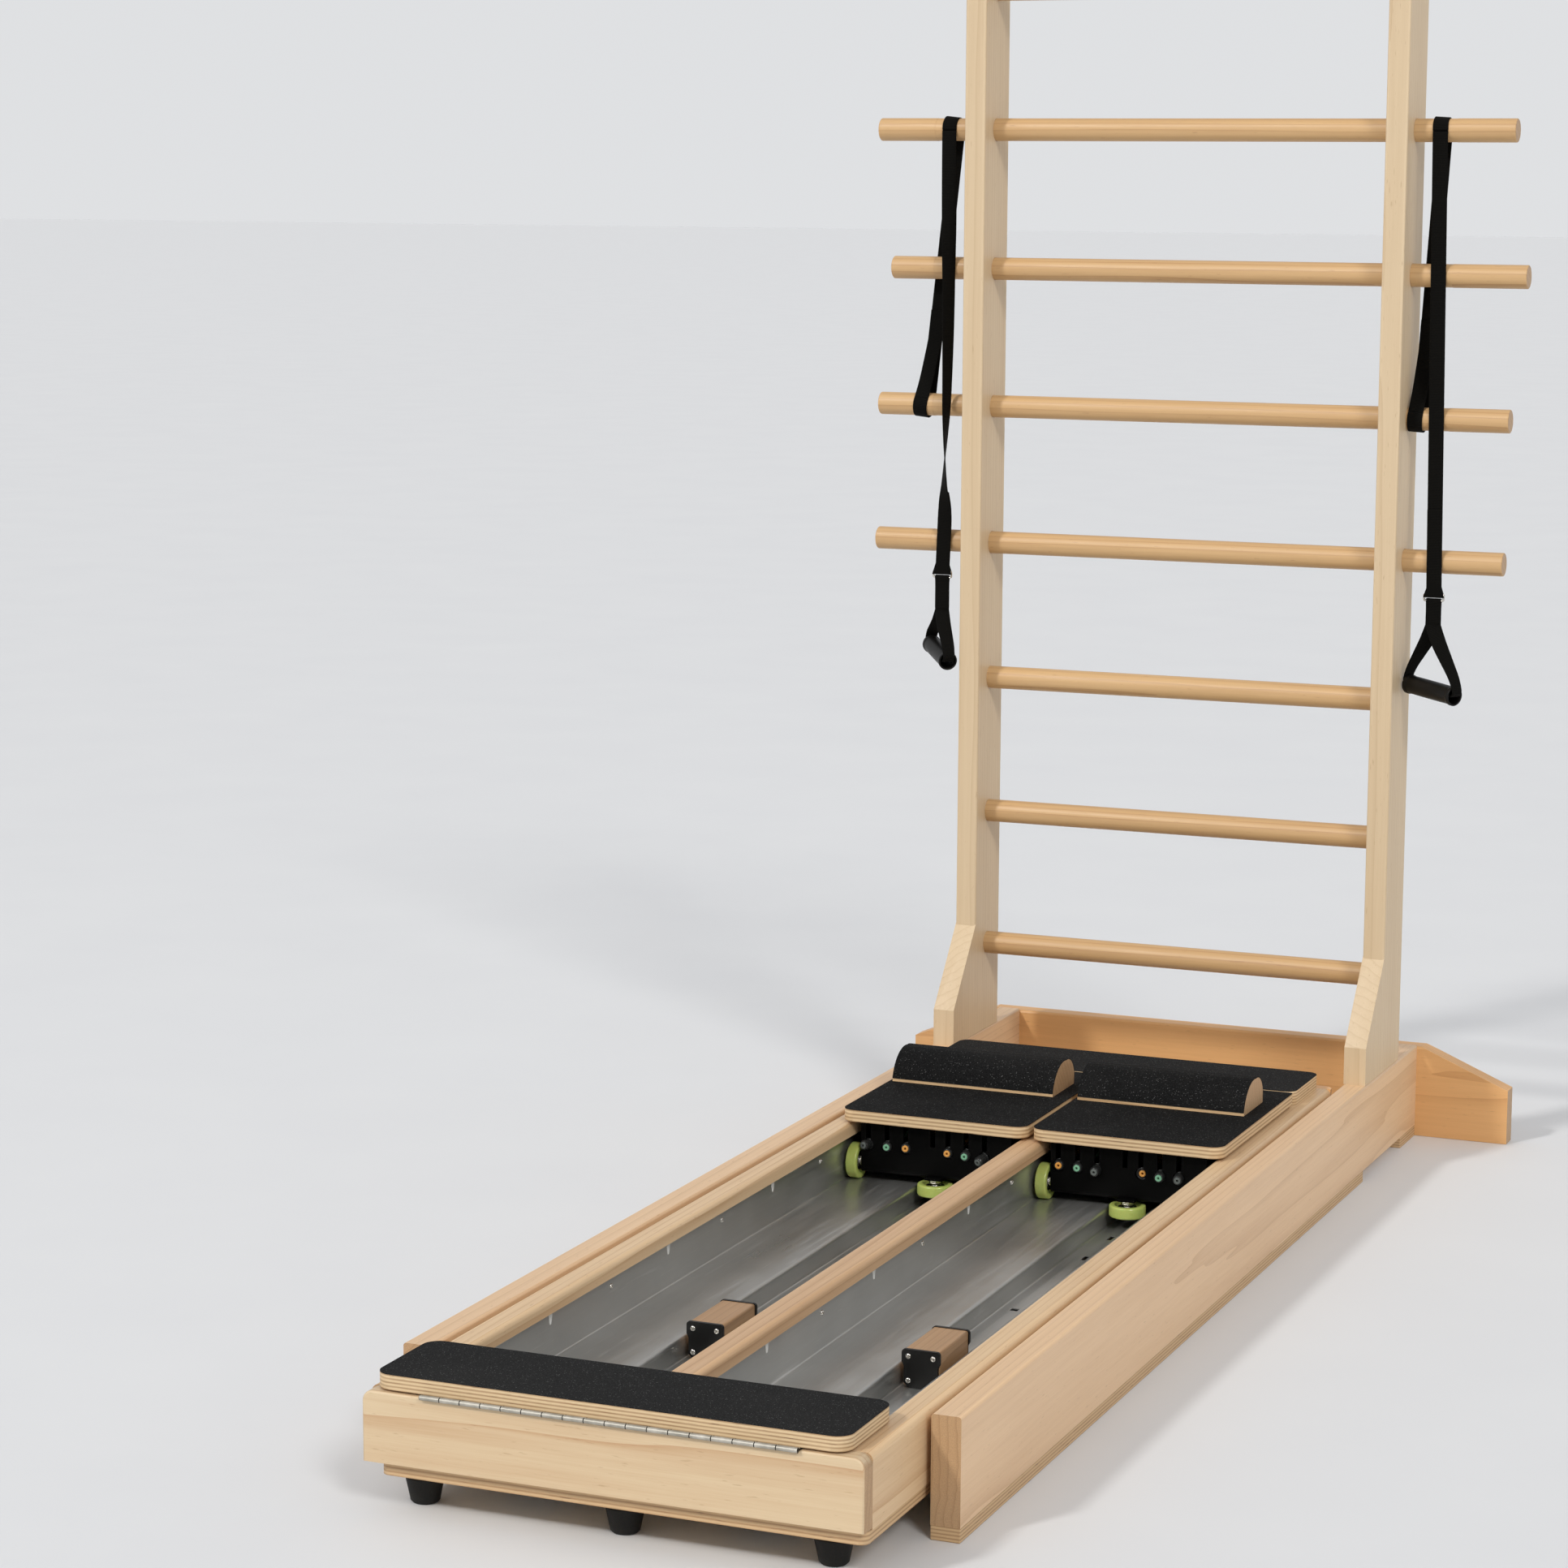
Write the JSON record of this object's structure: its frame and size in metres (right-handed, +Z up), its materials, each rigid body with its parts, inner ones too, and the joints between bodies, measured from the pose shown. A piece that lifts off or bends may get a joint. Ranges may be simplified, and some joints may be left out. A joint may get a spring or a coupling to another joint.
{
  "type": "ladder and sliding-cart exercise apparatus",
  "caption": "Freestanding wooden ladder on a floor frame, with a two-lane track bed, spring-loaded foot carts, a hinged step and hanging strap handles.",
  "frame": {"origin": "middle of the footprint, at the floor", "axes": "+Z up, +Y from the hinged step to the ladder, +X to the right of a user who faces the ladder"},
  "size_m": [1.108, 2.4424, 2.21],
  "materials": {
    "maple": "satin lacquer",
    "plywood": "satin lacquer, bare plies at the edges",
    "grit_sheet": "coarse grit, matt",
    "sheet_metal": "mill finish",
    "black_metal": "satin powder coat",
    "bright_steel": "bright zinc",
    "lime_wheel": "moulded urethane",
    "black_rubber": "matt",
    "plug_plastic": "moulded",
    "tube_rubber": "smooth latex",
    "webbing": "woven nylon",
    "grip_plastic": "fine texture"
  },
  "bodies": {
    "root": {"upright_left": "maple", "base_rail_left": "maple", "upright_right": "maple", "base_rail_right": "maple", "rungs_long": "maple", "rungs_short": "maple", "base_runners": "plywood", "base_cross_board": "maple", "bed_front_board": "maple", "bed_rear_board": "maple", "bed_side_rail_left": "maple", "track_left": "sheet_metal", "bed_side_rail_right": "maple", "track_right": "sheet_metal", "bed_centre_rail": "maple", "bed_bottom_panel": "plywood", "track_screws": "bright_steel", "bed_feet": "black_rubber", "rear_deck": "plywood", "rear_deck_grip": "grit_sheet", "tube_anchor": "plywood", "hinge_fixed_leaf": "bright_steel", "strap_anchors": "webbing"},
    "lid": {"hinge_lid_leaf": "bright_steel", "step_lid": "plywood", "step_lid_grip": "grit_sheet"},
    "cart_left": {"cart_left_platform": "plywood", "cart_left_grip": "grit_sheet", "cart_left_foot_bar": "maple", "cart_left_chassis": "black_metal", "cart_left_tube_plugs": "plug_plastic", "cart_left_tubes": "tube_rubber"},
    "cart_left_wheels_front": {"cart_left_wheels_front": "lime_wheel"},
    "cart_left_wheels_rear": {"cart_left_wheels_rear": "lime_wheel"},
    "cart_left_guide_front": {"cart_left_guide_front": "lime_wheel"},
    "cart_left_guide_rear": {"cart_left_guide_rear": "lime_wheel"},
    "stop_left": {"stop_left_block": "maple", "stop_left_plates": "black_metal", "stop_left_screws": "bright_steel"},
    "cart_right": {"cart_right_platform": "plywood", "cart_right_grip": "grit_sheet", "cart_right_foot_bar": "maple", "cart_right_chassis": "black_metal", "cart_right_tube_plugs": "plug_plastic", "cart_right_tubes": "tube_rubber"},
    "cart_right_wheels_front": {"cart_right_wheels_front": "lime_wheel"},
    "cart_right_wheels_rear": {"cart_right_wheels_rear": "lime_wheel"},
    "cart_right_guide_front": {"cart_right_guide_front": "lime_wheel"},
    "cart_right_guide_rear": {"cart_right_guide_rear": "lime_wheel"},
    "stop_right": {"stop_right_block": "maple", "stop_right_plates": "black_metal", "stop_right_screws": "bright_steel"},
    "strap_left": {"strap_left_leg": "webbing", "strap_left_ring": "bright_steel"},
    "sling_left": {"strap_left_sling": "webbing"},
    "handle_left": {"strap_left_grip": "grip_plastic"},
    "strap_right": {"strap_right_leg": "webbing", "strap_right_ring": "bright_steel"},
    "sling_right": {"strap_right_sling": "webbing"},
    "handle_right": {"strap_right_grip": "grip_plastic"}
  },
  "joints": [
    {"name": "lid_hinge", "type": "hinge", "parent": "root", "child": "lid", "pos_m": [-0.0095, -1.2179, 0.1593], "axis": [1, 0, 0], "range_deg": [0, 195]},
    {"name": "cart_left_slide", "type": "slide", "parent": "root", "child": "cart_left", "axis": [0, -1, 0], "range_m": [0, 0.72], "stiffness_N_per_m": 60, "springref_m": -0.3, "deforming": ["cart_left_tubes"]},
    {"name": "cart_left_wheels_front_spin", "type": "hinge", "parent": "cart_left", "child": "cart_left_wheels_front", "pos_m": [-0.1655, 0.3017, 0.0948], "axis": [1, 0, 0], "continuous": true},
    {"name": "cart_left_wheels_rear_spin", "type": "hinge", "parent": "cart_left", "child": "cart_left_wheels_rear", "pos_m": [-0.1655, 0.6287, 0.0948], "axis": [1, 0, 0], "continuous": true},
    {"name": "cart_left_guide_front_spin", "type": "hinge", "parent": "cart_left", "child": "cart_left_guide_front", "pos_m": [-0.1655, 0.2917, 0.065], "axis": [0, 0, 1], "continuous": true},
    {"name": "cart_left_guide_rear_spin", "type": "hinge", "parent": "cart_left", "child": "cart_left_guide_rear", "pos_m": [-0.1655, 0.6447, 0.065], "axis": [0, 0, 1], "continuous": true},
    {"name": "stop_left_slide", "type": "slide", "parent": "root", "child": "stop_left", "axis": [0, -1, 0], "range_m": [0, 0.45]},
    {"name": "cart_right_slide", "type": "slide", "parent": "root", "child": "cart_right", "axis": [0, -1, 0], "range_m": [0, 0.72], "stiffness_N_per_m": 60, "springref_m": -0.3, "deforming": ["cart_right_tubes"]},
    {"name": "cart_right_wheels_front_spin", "type": "hinge", "parent": "cart_right", "child": "cart_right_wheels_front", "pos_m": [0.1465, 0.3017, 0.0948], "axis": [1, 0, 0], "continuous": true},
    {"name": "cart_right_wheels_rear_spin", "type": "hinge", "parent": "cart_right", "child": "cart_right_wheels_rear", "pos_m": [0.1465, 0.6287, 0.0948], "axis": [1, 0, 0], "continuous": true},
    {"name": "cart_right_guide_front_spin", "type": "hinge", "parent": "cart_right", "child": "cart_right_guide_front", "pos_m": [0.1465, 0.2917, 0.065], "axis": [0, 0, 1], "continuous": true},
    {"name": "cart_right_guide_rear_spin", "type": "hinge", "parent": "cart_right", "child": "cart_right_guide_rear", "pos_m": [0.1465, 0.6447, 0.065], "axis": [0, 0, 1], "continuous": true},
    {"name": "stop_right_slide", "type": "slide", "parent": "root", "child": "stop_right", "axis": [0, -1, 0], "range_m": [0, 0.45]},
    {"name": "strap_left_swing", "type": "hinge", "parent": "root", "child": "strap_left", "pos_m": [-0.4255, 0.9933, 1.6876], "axis": [-1, 0, 0], "range_deg": [0, 60]},
    {"name": "strap_left_sling_fold", "type": "hinge", "parent": "strap_left", "child": "sling_left", "pos_m": [-0.4295, 0.9933, 0.938], "axis": [-1, 0, 0], "range_deg": [-40, 75]},
    {"name": "strap_left_grip_spin", "type": "hinge", "parent": "sling_left", "child": "handle_left", "pos_m": [-0.433, 0.9933, 0.809], "axis": [0.5805, -0.7991, -0.1564], "continuous": true},
    {"name": "strap_right_swing", "type": "hinge", "parent": "root", "child": "strap_right", "pos_m": [0.4085, 0.9933, 1.6876], "axis": [-1, 0, 0], "range_deg": [0, 60]},
    {"name": "strap_right_sling_fold", "type": "hinge", "parent": "strap_right", "child": "sling_right", "pos_m": [0.4205, 0.9933, 0.938], "axis": [-1, 0, 0], "range_deg": [-40, 75]},
    {"name": "strap_right_grip_spin", "type": "hinge", "parent": "sling_right", "child": "handle_right", "pos_m": [0.4215, 0.9933, 0.792], "axis": [0.8265, -0.5575, -0.0785], "continuous": true}
  ],
  "couplings": [
    {"joint": "cart_left_wheels_front_spin", "follows": "cart_left_slide", "rad_per_m": 35.714},
    {"joint": "cart_left_wheels_rear_spin", "follows": "cart_left_slide", "rad_per_m": 35.714},
    {"joint": "cart_left_guide_front_spin", "follows": "cart_left_slide", "rad_per_m": 35.714},
    {"joint": "cart_left_guide_rear_spin", "follows": "cart_left_slide", "rad_per_m": 35.714},
    {"joint": "cart_right_wheels_front_spin", "follows": "cart_right_slide", "rad_per_m": 35.714},
    {"joint": "cart_right_wheels_rear_spin", "follows": "cart_right_slide", "rad_per_m": 35.714},
    {"joint": "cart_right_guide_front_spin", "follows": "cart_right_slide", "rad_per_m": 35.714},
    {"joint": "cart_right_guide_rear_spin", "follows": "cart_right_slide", "rad_per_m": 35.714}
  ]
}
